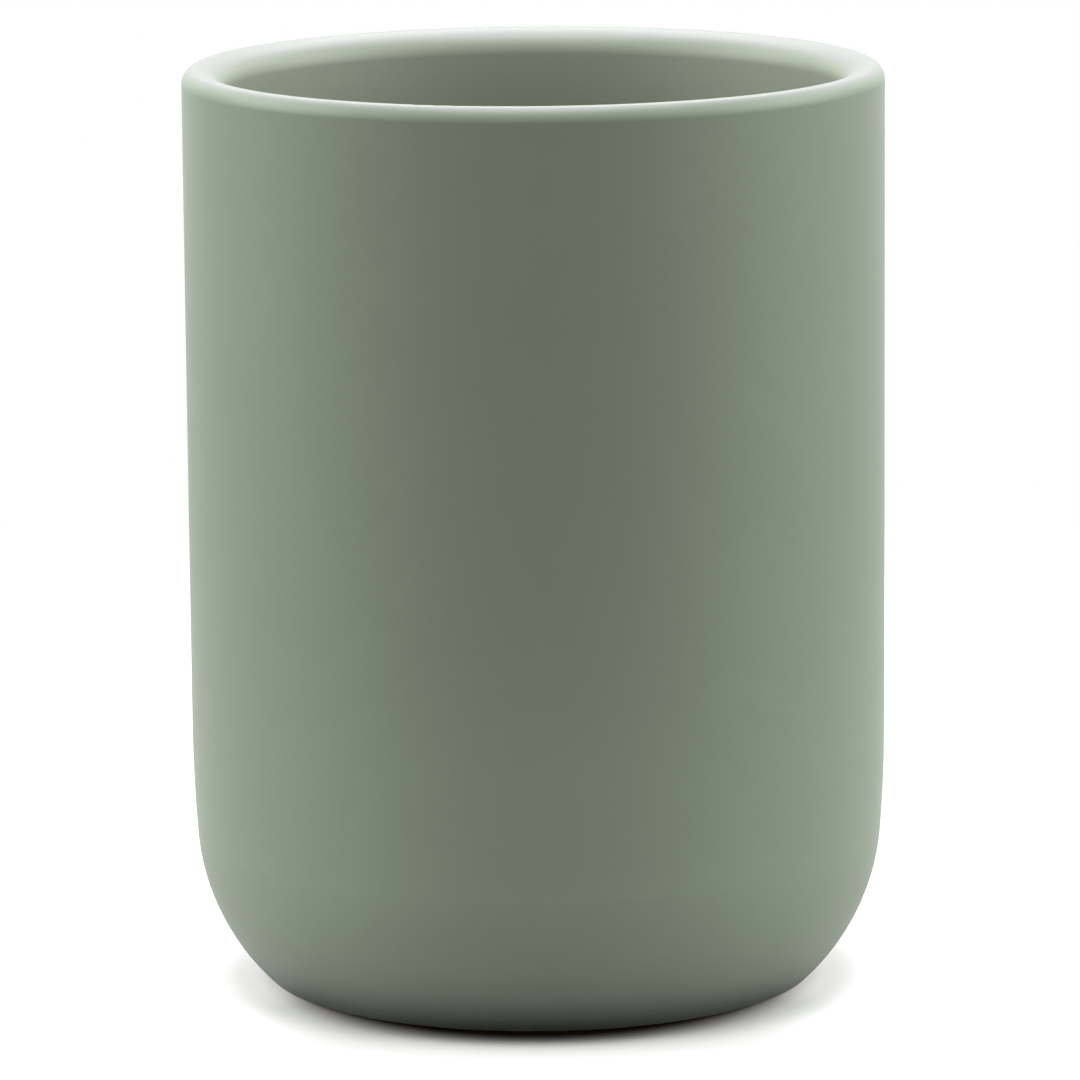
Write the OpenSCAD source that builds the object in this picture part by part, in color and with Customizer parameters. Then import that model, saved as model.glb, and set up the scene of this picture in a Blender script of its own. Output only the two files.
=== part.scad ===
// Bathroom tumbler: a cast stoneware cup with a soft matt coat, standing on a thin non-slip pad
// Sizes are in millimetres. The origin is the centre of the face that it rests on, and +Z is up.

/* [Cup] */
// Diameter across the straight wall
cup_d = 81; // [72:0.5:92]
// Height of the cup itself, from its foot to the crest of the rim
cup_h = 106.5; // [88:0.5:130]
// Thickness of the wall
wall_t = 4.8; // [3.6:0.1:6.4]
// Thickness of the floor, from the foot to the inside face
floor_t = 5.8; // [4:0.1:9]

/* [Lower corner] */
// Radius of the slow curve by which the wall starts to draw in
ease_r = 161.1; // [120:0.1:240]
// Height of the slow curve's start above the centre of the rounded corner
ease_h = 10.4; // [6:0.1:14]
// Radius of the rounded corner between the slow curve and the foot
corner_r = 25.7; // [22:0.1:30]
// Height of the rounded corner's centre above the foot
corner_h = 18.7; // [15:0.1:21]
// Radius of the small edge where the corner meets the foot
foot_edge_r = 0.325; // [0.1:0.025:1.2]
// Radius of the sweep from the inside wall down to the inside floor
inner_sweep_r = 7.9; // [4:0.1:11]

/* [Rim] */
// Radius of the rounding between the wall and the rim's outer edge
rim_out_r = 2; // [1.8:0.1:3.2]
// Radius of the rim's outer edge, which ends at the crest
rim_edge_r = 1; // [0.4:0.1:1.6]
// Radius of the rounding between the crown and the inside wall
rim_in_r = 2.8; // [1.4:0.1:3]

/* [Foot and pad] */
// Width of the foot ring around the recess for the pad
foot_land = 2.2; // [1.2:0.1:6]
// Depth of the recess for the pad
recess_depth = 0.65; // [0.3:0.05:0.9]
// Thickness of the non-slip pad
pad_t = 1; // [0.8:0.05:2]
// Radius of the pad's bottom edge
pad_edge_r = 0.25; // [0.1:0.05:0.6]
// Gap all round between the pad and the wall of the recess
pad_gap = 0.3; // [0.1:0.05:1]
// Thickness of the adhesive film that holds the pad
film_t = 0.15; // [0.05:0.05:0.3]
// How far the edge of the film stays inside the edge of the pad
film_inset = 0.8; // [0.2:0.1:3]

/* [Hidden] */
// Facets on a full turn, where curves are shown as facets
$fn = 180;
// How far a cut runs past the face that it opens
overrun = 1;
// Where one arc of the rim hands over to the next: the sine of the tilt from level, and its cosine
turn_share = 0.6;
rise_share = sqrt(1 - pow(turn_share, 2));
// Most of the width from the crest to the inside wall that the inside rounding may take
rim_in_limit_share = 0.85;

cup_r = cup_d / 2;
inner_r = cup_r - wall_t;

// The pad stands proud of the foot, so the foot and everything above it is carried that much higher
foot_z = pad_t + film_t - recess_depth;
recess_z = foot_z + recess_depth;
floor_z = foot_z + floor_t;
rim_z = foot_z + cup_h;

// The slow curve and the corner each have one centre for the outside and the inside, so the wall stays even
corner = [
    cup_r - ease_r + sqrt(pow(ease_r - corner_r, 2) - pow(ease_h, 2)),
    foot_z + corner_h
];
ease = [cup_r - ease_r, corner.y + ease_h];
inner_sweep = min(inner_sweep_r, corner_h - floor_t);

// Radius of the flat foot, out to the centre of its edge
foot_r = corner.x + sqrt(pow(corner_r - foot_edge_r, 2) - pow(corner_h - foot_edge_r, 2));

recess_r = foot_r - foot_land;
pad_r = recess_r - pad_gap;
film_r = pad_r - film_inset;

// The rim is four arcs, each tangent to the next: a rounding and an edge rise from the wall to the crest, and
// a long crown and another rounding fall from the crest to the inside wall
rounding_reach = rim_out_r - rim_edge_r;
out_centre = [cup_r - rim_out_r, rim_z - rim_edge_r - rise_share * rounding_reach];
edge_centre = out_centre + rounding_reach * [turn_share, rise_share];
crest_w = edge_centre.x - inner_r;
in_r = min(rim_in_r, rim_in_limit_share * crest_w);
crown_reach = (crest_w - in_r) / turn_share;
crown_r = in_r + crown_reach;
crown_centre = [edge_centre.x, rim_z - crown_r];
in_centre = crown_centre + crown_reach * [-turn_share, rise_share];

// The point that lies a given distance from one point towards another
function towards(from, to, reach) = from + reach * (to - from) / norm(to - from);

// A full disc in the section plane
module disc(centre, r) {
    translate(centre)
        circle(r = r);
}

// The part of a disc between the directions from its centre to two other points
module sector(centre, r, from, to) {
    reach = 2 * r;
    middle = (towards(centre, from, r) + towards(centre, to, r)) / 2;
    intersection() {
        disc(centre, r);
        polygon([
            centre,
            towards(centre, from, reach),
            towards(centre, middle, reach),
            towards(centre, to, reach)
        ]);
    }
}

// Half the section of a round vessel, filled in. From the bottom it runs through a sweep, the corner arc and
// the slow curve up to the wall
module vessel_half(side_r, slow_r, arc_r, sweep_r, bottom_z, top_z) {
    rise = corner.y - bottom_z - sweep_r;
    sweep = [corner.x + sqrt(pow(arc_r - sweep_r, 2) - pow(rise, 2)), bottom_z + sweep_r];
    polygon([
        [0, bottom_z],
        [sweep.x, bottom_z],
        sweep,
        [side_r, ease.y],
        [side_r, top_z],
        [0, top_z]
    ]);
    disc(sweep, sweep_r);
    sector(corner, arc_r, [side_r, corner.y], sweep);
    intersection() {
        disc(ease, slow_r);
        polygon([
            corner,
            towards(ease, corner, 2 * slow_r),
            [ease.x + 2 * slow_r, ease.y],
            [corner.x, ease.y]
        ]);
    }
}

// Section of the rim, from the height of the crown's centre up
module rim_section() {
    polygon([
        [inner_r, crown_centre.y],
        [cup_r, crown_centre.y],
        [cup_r, out_centre.y],
        edge_centre,
        in_centre,
        [inner_r, in_centre.y]
    ]);
    sector(out_centre, rim_out_r, [cup_r, out_centre.y], edge_centre);
    disc(edge_centre, rim_edge_r);
    sector(crown_centre, crown_r, edge_centre, in_centre);
    sector(in_centre, in_r, [in_centre.x, rim_z], [inner_r, in_centre.y]);
}

// The cast cup: an even wall turned about the axis, with a shallow recess under its foot
module cup_body() {
    color("darkseagreen")
        rotate_extrude() {
            difference() {
                vessel_half(cup_r, ease_r, corner_r, foot_edge_r, foot_z, crown_centre.y);
                vessel_half(
                    inner_r,
                    ease_r - wall_t,
                    corner_r - wall_t,
                    inner_sweep,
                    floor_z,
                    crown_centre.y + overrun
                );
                translate([0, foot_z - overrun])
                    square([recess_r, recess_depth + overrun]);
            }
            rim_section();
        }
}

// The film of adhesive between the pad and the roof of the recess
module pad_adhesive() {
    color("lightgoldenrodyellow")
        translate([0, 0, recess_z - film_t])
            cylinder(r = film_r, h = film_t);
}

// The non-slip pad that the tumbler rests on, with its bottom edge rounded
module base_pad() {
    color("dimgray")
        rotate_extrude() {
            polygon([
                [0, 0],
                [pad_r - pad_edge_r, 0],
                [pad_r - pad_edge_r, pad_edge_r],
                [pad_r, pad_edge_r],
                [pad_r, pad_t],
                [0, pad_t]
            ]);
            disc([pad_r - pad_edge_r, pad_edge_r], pad_edge_r);
        }
}

cup_body();
pad_adhesive();
base_pad();
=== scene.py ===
import math

import bpy
from mathutils import Matrix, Vector


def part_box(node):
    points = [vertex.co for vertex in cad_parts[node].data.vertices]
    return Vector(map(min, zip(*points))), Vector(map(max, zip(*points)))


MM = 0.001

# Places on the cup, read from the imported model
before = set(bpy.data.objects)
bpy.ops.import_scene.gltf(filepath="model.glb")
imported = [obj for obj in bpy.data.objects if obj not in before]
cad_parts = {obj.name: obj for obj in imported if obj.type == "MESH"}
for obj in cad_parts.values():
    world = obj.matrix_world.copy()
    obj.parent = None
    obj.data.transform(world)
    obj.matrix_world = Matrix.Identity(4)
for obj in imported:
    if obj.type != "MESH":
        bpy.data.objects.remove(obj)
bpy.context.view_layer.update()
CUP_LOW, CUP_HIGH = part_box("cup_body")
CUP_R = (CUP_HIGH.x - CUP_LOW.x) / 2
RIM_Z = CUP_HIGH.z
FOOT_Z = CUP_LOW.z
WALL_T = 4.8 * MM
INNER_R = CUP_R - WALL_T

# Radii of the rim's inside rounding, its outer edge and the rounding below that edge
RIM_IN_R = 2.8 * MM
RIM_EDGE_R = 1 * MM
RIM_OUT_R = 2 * MM
# Where a rounding meets its neighbour: the sine of the tilt from level, and its cosine
TURN_SHARE = 0.6
RISE_SHARE = math.sqrt(1 - TURN_SHARE ** 2)

# How far out the crest lies, and the radius of the crown that falls from it towards the inside
CREST_R = CUP_R - RIM_OUT_R + TURN_SHARE * (RIM_OUT_R - RIM_EDGE_R)
CROWN_R = RIM_IN_R + (CREST_R - INNER_R - RIM_IN_R) / TURN_SHARE

# How far below the crest the centres of the inside and the outside rounding lie
IN_DEPTH = CROWN_R - RISE_SHARE * (CROWN_R - RIM_IN_R)
OUT_DEPTH = RIM_EDGE_R + RISE_SHARE * (RIM_OUT_R - RIM_EDGE_R)

# The rim's four arcs from the inside out: how far from the axis each starts, and how far out from the axis
# and how far below the crest its centre lies
RIM_ARCS = (
    (INNER_R, INNER_R + RIM_IN_R, IN_DEPTH),
    (CREST_R - TURN_SHARE * CROWN_R, CREST_R, CROWN_R),
    (CREST_R, CREST_R, RIM_EDGE_R),
    (CREST_R + TURN_SHARE * RIM_EDGE_R, CUP_R - RIM_OUT_R, OUT_DEPTH),
)
# The arcs give the normal down to this far below the crest
EVEN_DEPTH = 12 * MM

# Camera: it stands before the -Y side and looks a little down at the tumbler. Angles are in degrees
CAMERA_DISTANCE = 829.5 * MM
CAMERA_ELEVATION = 10.58
CAMERA_ROLL = -0.47
CAMERA_RIGHT = 0.36 * MM
AIM_Z = 51.27 * MM
LENS_MM = 237.07
SENSOR_MM = 36.0
CLIP_NEAR = 10 * MM
CLIP_FAR = 20000 * MM

# Colours, in linear light
SAGE = (0.205, 0.252, 0.189)
# A lighter, greyer sage painted on the inside as light
SAGE_INSIDE_PAINTED_LIGHTER = (0.222, 0.257, 0.203)
# A pale colour painted on the rim's crest as a highlight
RIM_PAINTED_HIGHLIGHT = (0.242, 0.254, 0.242)
BISQUE = (0.42, 0.37, 0.29)
FILM_PALE = (0.56, 0.54, 0.43)
RUBBER_BLACK = (0.012, 0.012, 0.012)
WHITE = (1.0, 1.0, 1.0)
BLACK = (0.0, 0.0, 0.0)

# The middle of a noise that runs from 0 to 1, and the gloss of a piece without a coat
NOISE_MIDDLE = 0.5
PLAIN_GLOSS = 0.5

# Lacquer: the size and the detail of each grain, and how much it changes the tone and the roughness
LACQUER_GLOSS = 0.25
LACQUER_ROUGHNESS = 0.44
LACQUER_GRAINS = {
    "cloud": (22 * MM, 2.0, 0.05, 0.06),
    "mottle": (3.5 * MM, 3.0, 0.035, 0.05),
    "speck": (0.45 * MM, 2.0, 0.03, 0.06),
}
# Its relief, as size, detail and depth: the wave of the casting, the peel of the spray and a fine tooth
LACQUER_RELIEF = (
    (28 * MM, 0.0, 0.05 * MM),
    (0.7 * MM, 1.0, 0.006 * MM),
    (0.18 * MM, 0.0, 0.003 * MM),
)
# The rim's crest gets a painted highlight: it is painted paler as it comes to face up, between these two
# shares of straight up, and the mottle shifts them a little. The painted highlight ends between these two
# depths below the crest
CREST_FACING_SHARES = (0.56, 0.82)
CREST_MOTTLE_SHARE = 0.1
CREST_NONE_DEPTH = 4 * MM
CREST_FULL_DEPTH = 2 * MM
# The inside's lighter tone is painted light, and gives way to the outside's over this width, from the inside
# wall outwards
INSIDE_LIGHT_BLEND = 2 * MM

# Bare stoneware under the foot: where the coat begins above it, how uneven its edge is, and its grain
COAT_NONE_H = 0.01 * MM
COAT_FULL_H = 0.12 * MM
COAT_EDGE_WAVE = 0.6 * MM
BARE_MOTTLE_SHARE = 0.12
BARE_SPECK_SHARE = 0.20

# Adhesive film: the same four values for each grain as for the lacquer
FILM_ROUGHNESS = 0.32
FILM_GRAINS = {
    "cloud": (6 * MM, 2.0, 0.08, 0.08),
    "fibre": (0.4 * MM, 4.0, 0.10, 0.10),
}
FIBRE_DEPTH = 0.01 * MM

# Foam rubber of the pad: the same again, then the size of its cells, what they add, and a fine tooth
RUBBER_ROUGHNESS = 0.72
RUBBER_GRAINS = {
    "cloud": (5 * MM, 2.0, 0.3, 0.08),
    "fine": (0.2 * MM, 2.0, 0.4, 0.0),
}
CELL_SIZE = 0.7 * MM
CELL_TONE_SHARE = 0.5
CELL_ROUGHNESS_SHARE = 0.12
CELL_DEPTH = 0.06 * MM
PAD_TOOTH_DEPTH = 0.01 * MM

# Floor: what the camera sees of it, what reflections show of it, and what it gives back to the tumbler as
# light near it and further out
FLOOR_SEEN = (0.95, 0.95, 0.94)
FLOOR_MIRRORED = (0.50, 0.50, 0.50)
BOUNCE_NEAR = (0.43, 0.43, 0.43)
BOUNCE_FAR = (0.05, 0.05, 0.05)
FLOOR_HALF = 600 * MM

# Distances from the axis: between the first two its reflection and the light it gives back set in, and nearer
# the foot both are black, a painted shade. Between the next two that light weakens, and between the last two
# it turns plain white, in reflections too
BESIDE_FROM = 33.4 * MM
BESIDE_TO = 44 * MM
BOUNCE_FROM = 60 * MM
BOUNCE_TO = 130 * MM
FADE_FROM = 160 * MM
FADE_TO = 300 * MM

# The floor lies this far under the pad, and right under the foot it lets the light from below through
FLOOR_DROP = 0.02 * MM
LIT_FROM_BELOW_R = 31.9 * MM

# The camera sees a painted shadow where the foot stands, which ends between these two distances
CONTACT_SHADE = (0.012, 0.007, 0.004)
CONTACT_FROM = 31.4 * MM
CONTACT_TO = 38 * MM
# For the shade, and for where the reflection and the light it gives back set in, X counts times this
CONTACT_SIDE_SHARE = 1.12

# A direction on the floor is 0 sideways in front and behind, and 1 at the sides. In front and behind, the
# camera sees this share of the floor's tone, a painted shade, and the rest comes in between these two shares
# of sideways
FRONT_PAINTED_SHADE_SHARE = 0.70
FULL_TONE_SHARES = (0.5, 1.0)
# At the sides, outside the shade, this share of what is seen is plain white, in reflections too, painted
# light that lifts the shadow there, and it comes in between these two shares of sideways
SIDE_SHADOW_LIFT_SHARE = 0.42
WHITE_START_SHARES = (0.82, 0.97)

# Lamps: name, azimuth and elevation in degrees, width and height in metres, and radiance. Azimuth 0 is behind
# the camera, and 90 is to its right
LAMP_DISTANCE = 1000 * MM
LAMPS = (
    ("top", 0, 85, 0.70, 0.70, 8.75),
    ("front", 0, 27, 0.80, 0.60, 0.59),
    ("back", 180, 50, 0.80, 0.50, 5.88),
    ("below", 0, -90, 0.30, 0.30, 26.0),
)
# These stand on the left and on the right, a little weaker on the right. A name follows its side's name
RIGHT_SHARE = 0.96
SIDE_LAMPS = (
    ("_front", 60, 22, 0.60, 0.60, 1.48),
    ("", 92, 22, 0.75, 0.65, 5.78),
    ("_high", 122, 38, 0.60, 0.50, 1.87),
    ("_back", 150, 12, 0.55, 0.60, 0.65),
)


class Nodes:
    """A material's or a world's node tree, with short calls to add nodes and links."""

    def __init__(self, owner):
        owner.use_nodes = True
        self.tree = owner.node_tree
        self.tree.nodes.clear()

    def add(self, kind, **settings):
        """A node of that kind. A setting is one of the node's properties."""
        node = self.tree.nodes.new(kind)
        for name, value in settings.items():
            setattr(node, name, value)
        return node

    def put(self, value, socket):
        """Links another socket to this one, or sets a number, a vector or a colour on it."""
        if isinstance(value, bpy.types.NodeSocket):
            self.tree.links.new(value, socket)
        elif socket.type == "RGBA":
            socket.default_value = (*value, 1)
        else:
            socket.default_value = value

    def compute(self, operation, *values):
        """A maths node on numbers and sockets."""
        node = self.add("ShaderNodeMath", operation=operation)
        for value, socket in zip(values, node.inputs):
            self.put(value, socket)
        return node.outputs["Value"]

    def vector(self, operation, *values):
        """A vector maths node on vectors and sockets."""
        node = self.add("ShaderNodeVectorMath", operation=operation)
        for value, socket in zip(values, node.inputs):
            self.put(value, socket)
        return node.outputs["Value" if operation == "LENGTH" else "Vector"]

    def split(self, vector):
        """The X, Y and Z of a vector."""
        node = self.add("ShaderNodeSeparateXYZ")
        self.put(vector, node.inputs["Vector"])
        return node.outputs

    def add_up(self, start, terms):
        """start plus each value times its factor."""
        total = start
        for value, factor in terms:
            total = self.compute("MULTIPLY_ADD", value, factor, total)
        return total

    def ramp(self, value, low, high):
        """0 below low, 1 above high, and a smooth step between them."""
        step = self.add("ShaderNodeMapRange", interpolation_type="SMOOTHSTEP")
        self.put(value, step.inputs["Value"])
        self.put(low, step.inputs["From Min"])
        self.put(high, step.inputs["From Max"])
        return step.outputs["Result"]

    def grain(self, place, size, detail):
        """Noise about zero, from -0.5 to 0.5, with features of that size."""
        noise = self.add("ShaderNodeTexNoise")
        self.put(place, noise.inputs["Vector"])
        self.put(1 / size, noise.inputs["Scale"])
        self.put(detail, noise.inputs["Detail"])
        return self.compute("SUBTRACT", noise.outputs["Fac"], NOISE_MIDDLE)

    def toned(self, colour, tone):
        """A colour, or a vector, times a tone."""
        scaled = self.add("ShaderNodeVectorMath", operation="SCALE")
        self.put(colour, scaled.inputs[0])
        self.put(tone, scaled.inputs["Scale"])
        return scaled.outputs["Vector"]

    def blend(self, share, first, second, kind="RGBA"):
        """The first colour where the share is 0 and the second where it is 1. kind can be VECTOR instead."""
        mix = self.add("ShaderNodeMix", data_type=kind)
        self.put(share, mix.inputs["Factor"])
        for name, value in (("A", first), ("B", second)):
            self.put(value, [i for i in mix.inputs if i.name == name and i.type == kind][0])
        return [o for o in mix.outputs if o.type == kind][0]

    def relief(self, layers, normal=None):
        """A normal from several heights in metres, each a grain and its depth."""
        for height, depth in layers:
            bump = self.add("ShaderNodeBump")
            self.put(height, bump.inputs["Height"])
            self.put(depth, bump.inputs["Distance"])
            if normal is not None:
                self.put(normal, bump.inputs["Normal"])
            normal = bump.outputs["Normal"]
        return normal

    def plain(self, kind, colour):
        """A shader of that kind and colour."""
        shader = self.add(kind)
        self.put(colour, shader.inputs["Color"])
        return shader.outputs[0]

    def mixed(self, share, first, second):
        """The first shader where the share is 0 and the second where it is 1."""
        mix = self.add("ShaderNodeMixShader")
        for value, socket in zip((share, first, second), mix.inputs):
            self.put(value, socket)
        return mix.outputs["Shader"]

    def show(self, shader, kind="ShaderNodeOutputMaterial"):
        """Makes the shader the tree's output."""
        self.put(shader, self.add(kind).inputs["Surface"])

    def surface(self, colour, roughness, normal, gloss=PLAIN_GLOSS):
        """A principled surface as the tree's output."""
        shader = self.add("ShaderNodeBsdfPrincipled")
        self.put(colour, shader.inputs["Base Color"])
        self.put(roughness, shader.inputs["Roughness"])
        self.put(gloss, shader.inputs["Specular IOR Level"])
        self.put(normal, shader.inputs["Normal"])
        self.show(shader.outputs["BSDF"])


def new_material(name):
    """A new material, its nodes, and places on it in metres, with z measured from the resting face."""
    material = bpy.data.materials.new(name)
    nodes = Nodes(material)
    return material, nodes, nodes.add("ShaderNodeTexCoord").outputs["Object"]


def give(node_name, material):
    """Puts a material in every slot of a CAD node's object."""
    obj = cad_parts[node_name]
    if not obj.material_slots:
        obj.data.materials.append(material)
    for slot in obj.material_slots:
        slot.material = material


def add_object(name, data):
    """A new object of that data, linked to the scene."""
    obj = bpy.data.objects.new(name, data)
    bpy.context.scene.collection.objects.link(obj)
    return obj


def make_camera():
    data = bpy.data.cameras.new("camera")
    data.lens = LENS_MM
    data.sensor_width = SENSOR_MM
    data.clip_start = CLIP_NEAR
    data.clip_end = CLIP_FAR
    camera = add_object("camera", data)
    tilt = math.radians(CAMERA_ELEVATION)
    back = Vector((0, -math.cos(tilt), math.sin(tilt)))
    aim = Vector((CAMERA_RIGHT, 0, AIM_Z))
    turn = (-back).to_track_quat("-Z", "Y").to_matrix().to_4x4()
    roll = Matrix.Rotation(math.radians(CAMERA_ROLL), 4, "Z")
    camera.matrix_world = Matrix.Translation(aim + back * CAMERA_DISTANCE) @ turn @ roll
    bpy.context.scene.camera = camera


def grained(nodes, place, grains, roughness):
    """The grains by name, and the tone and the roughness that they make together."""
    made = {name: nodes.grain(place, size, detail) for name, (size, detail, _, _) in grains.items()}
    tones = [(made[name], tone) for name, (_, _, tone, _) in grains.items() if tone]
    roughs = [(made[name], rough) for name, (_, _, _, rough) in grains.items() if rough]
    return made, nodes.add_up(1.0, tones), nodes.add_up(roughness, roughs)


def even_normal(nodes, place, reach, height):
    """The rim's and the wall's normal, without a step where one arc meets the next. Each arc faces away from
    its own centre, and the mesh's normal is kept further down."""
    _, first_out, first_depth = RIM_ARCS[0]
    outs, ups = [], []
    for (_, last_out, last_depth), (start, out, depth) in zip(RIM_ARCS, RIM_ARCS[1:]):
        beyond = nodes.compute("GREATER_THAN", reach, start)
        outs.append((beyond, out - last_out))
        ups.append((beyond, last_depth - depth))
    aside = nodes.compute("SUBTRACT", reach, nodes.add_up(first_out, outs))
    above = nodes.compute("SUBTRACT", height, nodes.add_up(RIM_Z - first_depth, ups))

    sideways = nodes.toned(nodes.vector("MULTIPLY", place, (1, 1, 0)), nodes.compute("DIVIDE", aside, reach))
    upwards = nodes.add("ShaderNodeCombineXYZ")
    nodes.put(nodes.compute("MAXIMUM", above, 0.0), upwards.inputs["Z"])
    away = nodes.vector("ADD", sideways, upwards.outputs["Vector"])
    turned = nodes.add("ShaderNodeVectorTransform", vector_type="NORMAL")
    turned.convert_from = "OBJECT"
    turned.convert_to = "WORLD"
    nodes.put(away, turned.inputs["Vector"])

    own = nodes.add("ShaderNodeNewGeometry").outputs["Normal"]
    near_rim = nodes.compute("GREATER_THAN", height, RIM_Z - EVEN_DEPTH)
    return nodes.blend(near_rim, own, nodes.vector("NORMALIZE", turned.outputs["Vector"]), kind="VECTOR")


def crest_highlight_share(nodes, height, normal, mottle):
    """1 on the rim's crest, where a pale highlight is painted into the coat, and 0 on its slopes and below.
    """
    facing = nodes.add_up(0.0, [(nodes.split(normal)["Z"], 1.0), (mottle, CREST_MOTTLE_SHARE)])
    upwards = nodes.ramp(facing, *CREST_FACING_SHARES)
    near_top = nodes.ramp(height, RIM_Z - CREST_NONE_DEPTH, RIM_Z - CREST_FULL_DEPTH)
    return nodes.compute("MULTIPLY", upwards, near_top)


def soft_touch_stoneware():
    """Soft matt sage lacquer over cast stoneware, with the bare body showing under the foot."""
    material, nodes, place = new_material("soft_touch_stoneware")
    grains, tone, roughness = grained(nodes, place, LACQUER_GRAINS, LACQUER_ROUGHNESS)
    mottle = grains["mottle"]
    reach = nodes.vector("LENGTH", nodes.vector("MULTIPLY", place, (1, 1, 0)))
    height = nodes.split(place)["Z"]
    even = even_normal(nodes, place, reach, height)

    # The inside is painted lighter, as light
    sage = nodes.blend(nodes.ramp(reach, INNER_R, INNER_R + INSIDE_LIGHT_BLEND), SAGE_INSIDE_PAINTED_LIGHTER, SAGE)
    # The crest gets a painted highlight where it faces up
    coat = nodes.toned(nodes.blend(crest_highlight_share(nodes, height, even, mottle), sage, RIM_PAINTED_HIGHLIGHT), tone)
    bare_terms = [(mottle, BARE_MOTTLE_SHARE), (grains["speck"], BARE_SPECK_SHARE)]
    bare = nodes.toned(BISQUE, nodes.add_up(1.0, bare_terms))
    coat_h = nodes.add_up(0.0, [(height, 1.0), (mottle, COAT_EDGE_WAVE)])
    coated = nodes.ramp(coat_h, FOOT_Z + COAT_NONE_H, FOOT_Z + COAT_FULL_H)

    layers = [(nodes.grain(place, size, detail), depth) for size, detail, depth in LACQUER_RELIEF]
    normal = nodes.relief(layers, even)
    nodes.surface(nodes.blend(coated, bare, coat), roughness, normal, LACQUER_GLOSS)
    return material


def adhesive_film():
    """Pale self-adhesive film with a fine fibre in it."""
    material, nodes, place = new_material("adhesive_film")
    grains, tone, roughness = grained(nodes, place, FILM_GRAINS, FILM_ROUGHNESS)
    normal = nodes.relief([(grains["fibre"], FIBRE_DEPTH)])
    nodes.surface(nodes.toned(FILM_PALE, tone), roughness, normal)
    return material


def pad_rubber():
    """Dark closed-cell foam rubber, with its cells showing through a thin skin."""
    material, nodes, place = new_material("pad_rubber")
    grains, grain_tone, grain_roughness = grained(nodes, place, RUBBER_GRAINS, RUBBER_ROUGHNESS)
    cells = nodes.add("ShaderNodeTexVoronoi")
    nodes.put(place, cells.inputs["Vector"])
    nodes.put(1 / CELL_SIZE, cells.inputs["Scale"])
    cell = cells.outputs["Distance"]
    tone = nodes.add_up(grain_tone, [(cell, CELL_TONE_SHARE)])
    roughness = nodes.add_up(grain_roughness, [(cell, CELL_ROUGHNESS_SHARE)])
    normal = nodes.relief([(cell, CELL_DEPTH), (grains["fine"], PAD_TOOTH_DEPTH)])
    nodes.surface(nodes.toned(RUBBER_BLACK, tone), roughness, normal)
    return material


def shown_rays(nodes, path):
    """1 for what the camera sees itself, in a reflection or through glass, and 0 for light that spreads."""
    seen = nodes.compute("MAXIMUM", path["Is Camera Ray"], path["Is Glossy Ray"])
    return nodes.compute("MAXIMUM", seen, path["Is Transmission Ray"])


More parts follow.
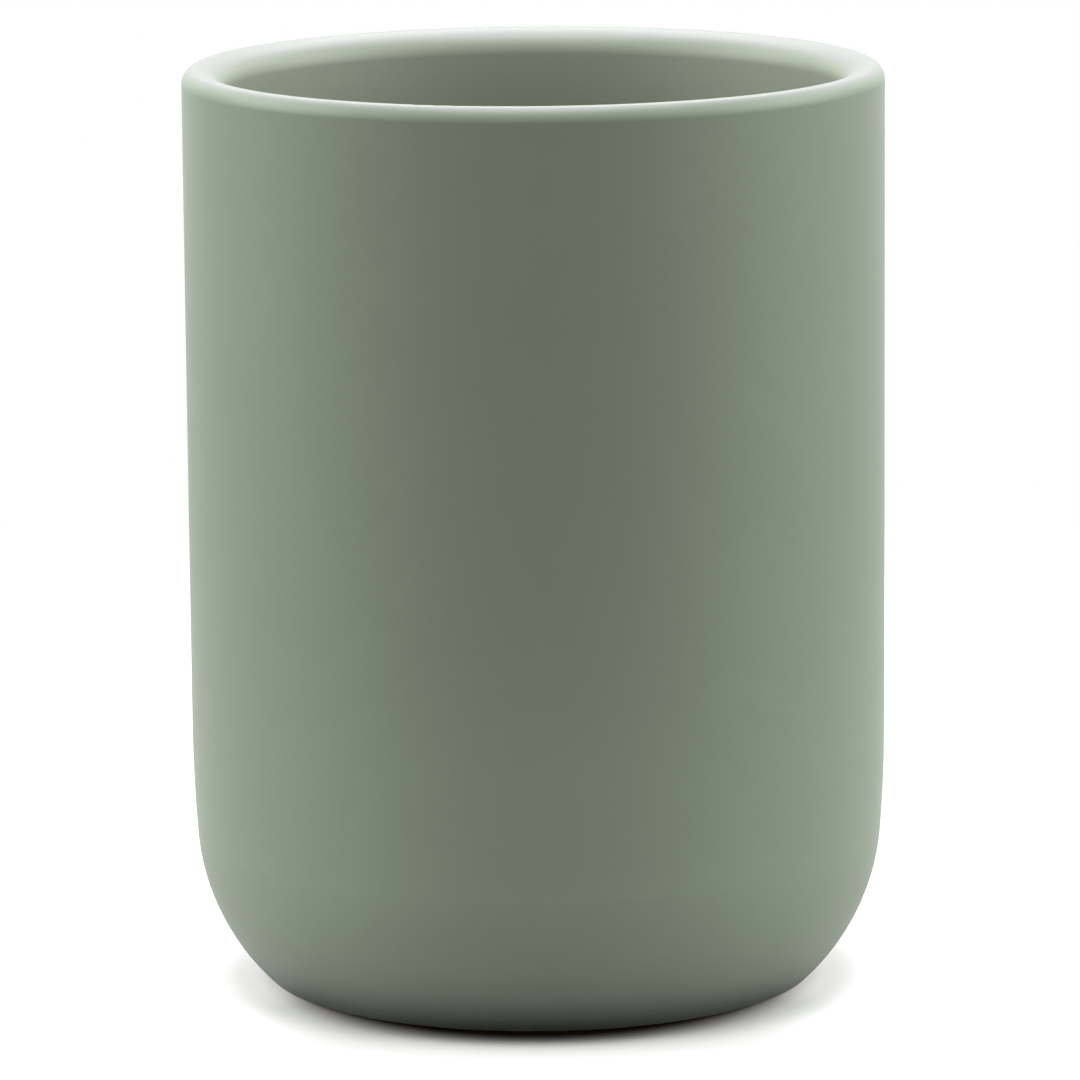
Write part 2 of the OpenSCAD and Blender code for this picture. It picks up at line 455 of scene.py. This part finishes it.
def floor_finish():
    """Pale floor. The camera sees it as it is lit near the tumbler, with a painted shadow where the foot
    stands, painted shade in front and behind and painted light at the sides, plain white further out, and
    through it from below, where a lamp lights the underside."""
    material, nodes, place = new_material("floor")
    path = nodes.add("ShaderNodeLightPath").outputs
    reach = nodes.vector("LENGTH", place)
    squeezed = nodes.vector("LENGTH", nodes.vector("MULTIPLY", place, (CONTACT_SIDE_SHARE, 1, 1)))
    sideways = nodes.compute("DIVIDE", nodes.compute("ABSOLUTE", nodes.split(place)["X"]), reach)
    clear_of_foot = nodes.ramp(squeezed, CONTACT_FROM, CONTACT_TO)
    beside = nodes.ramp(squeezed, BESIDE_FROM, BESIDE_TO)

    # Painted shade: the floor seen by the camera is darker in front and behind
    at_side = nodes.ramp(sideways, *FULL_TONE_SHARES)
    tone = nodes.add_up(FRONT_PAINTED_SHADE_SHARE, [(at_side, 1 - FRONT_PAINTED_SHADE_SHARE)])
    # Painted shadow where the foot stands
    direct = nodes.blend(clear_of_foot, CONTACT_SHADE, nodes.toned(FLOOR_SEEN, tone))
    # Near the foot the floor's reflection is black, a painted shade
    mirrored = nodes.blend(beside, BLACK, FLOOR_MIRRORED)
    near = nodes.plain("ShaderNodeBsdfDiffuse", nodes.blend(path["Is Camera Ray"], mirrored, direct))

    # Painted light: plain white lifts the shadow at the sides
    side_white = nodes.compute("MULTIPLY", nodes.ramp(sideways, *WHITE_START_SHARES), SIDE_SHADOW_LIFT_SHARE)
    near_white = nodes.compute("MULTIPLY", side_white, clear_of_foot)
    white = nodes.compute("MAXIMUM", nodes.ramp(reach, FADE_FROM, FADE_TO), near_white)
    seen = nodes.mixed(white, near, nodes.plain("ShaderNodeEmission", WHITE))

    given_back = nodes.blend(nodes.ramp(reach, BOUNCE_FROM, BOUNCE_TO), BOUNCE_NEAR, BOUNCE_FAR)
    # Near the foot the floor gives back no light, a painted shade
    bounce = nodes.plain("ShaderNodeBsdfDiffuse", nodes.blend(beside, BLACK, given_back))
    above = nodes.mixed(shown_rays(nodes, path), bounce, seen)

    under_foot = nodes.compute("LESS_THAN", reach, LIT_FROM_BELOW_R)
    let_through = nodes.compute("MULTIPLY", path["Is Shadow Ray"], under_foot)
    from_below = nodes.add("ShaderNodeNewGeometry").outputs["Backfacing"]
    opened = nodes.compute("MAXIMUM", from_below, let_through)
    nodes.show(nodes.mixed(opened, above, nodes.plain("ShaderNodeBsdfTransparent", WHITE)))
    return material


def make_floor():
    mesh = bpy.data.meshes.new("floor")
    corners = [(x * FLOOR_HALF, y * FLOOR_HALF, -FLOOR_DROP) for x, y in ((-1, -1), (1, -1), (1, 1), (-1, 1))]
    mesh.from_pydata(corners, [], [(0, 1, 2, 3)])
    mesh.materials.append(floor_finish())
    floor = add_object("floor", mesh)


def make_world():
    """White to the camera and in reflections. It gives the tumbler no light of its own."""
    world = bpy.data.worlds.new("world")
    bpy.context.scene.world = world
    nodes = Nodes(world)
    white = nodes.add("ShaderNodeBackground")
    nodes.put(WHITE, white.inputs["Color"])
    nodes.put(shown_rays(nodes, nodes.add("ShaderNodeLightPath").outputs), white.inputs["Strength"])
    nodes.show(white.outputs["Background"], "ShaderNodeOutputWorld")


def soft_box(name, azimuth, elevation, width, height, radiance):
    """A rectangular lamp that faces the tumbler."""
    data = bpy.data.lights.new(name, "AREA")
    data.shape = "RECTANGLE"
    data.size = width
    data.size_y = height
    data.energy = radiance * math.pi * width * height
    lamp = add_object(name, data)
    turn = math.radians(azimuth)
    rise = math.radians(elevation)
    away = Vector((math.sin(turn) * math.cos(rise), -math.cos(turn) * math.cos(rise), math.sin(rise)))
    lamp.location = Vector((0, 0, RIM_Z / 2)) + away * LAMP_DISTANCE
    lamp.rotation_euler = (-away).to_track_quat("-Z", "Y").to_euler()
    lamp.visible_camera = False


def make_lamps():
    for lamp in LAMPS:
        soft_box(*lamp)
    for side, hand, share in (("left", -1, 1), ("right", 1, RIGHT_SHARE)):
        for name, azimuth, elevation, width, height, radiance in SIDE_LAMPS:
            soft_box(side + name, hand * azimuth, elevation, width, height, radiance * share)


make_camera()
give("cup_body", soft_touch_stoneware())
give("pad_adhesive", adhesive_film())
give("base_pad", pad_rubber())
make_floor()
make_world()
make_lamps()
bpy.context.scene.view_settings.view_transform = "Standard"
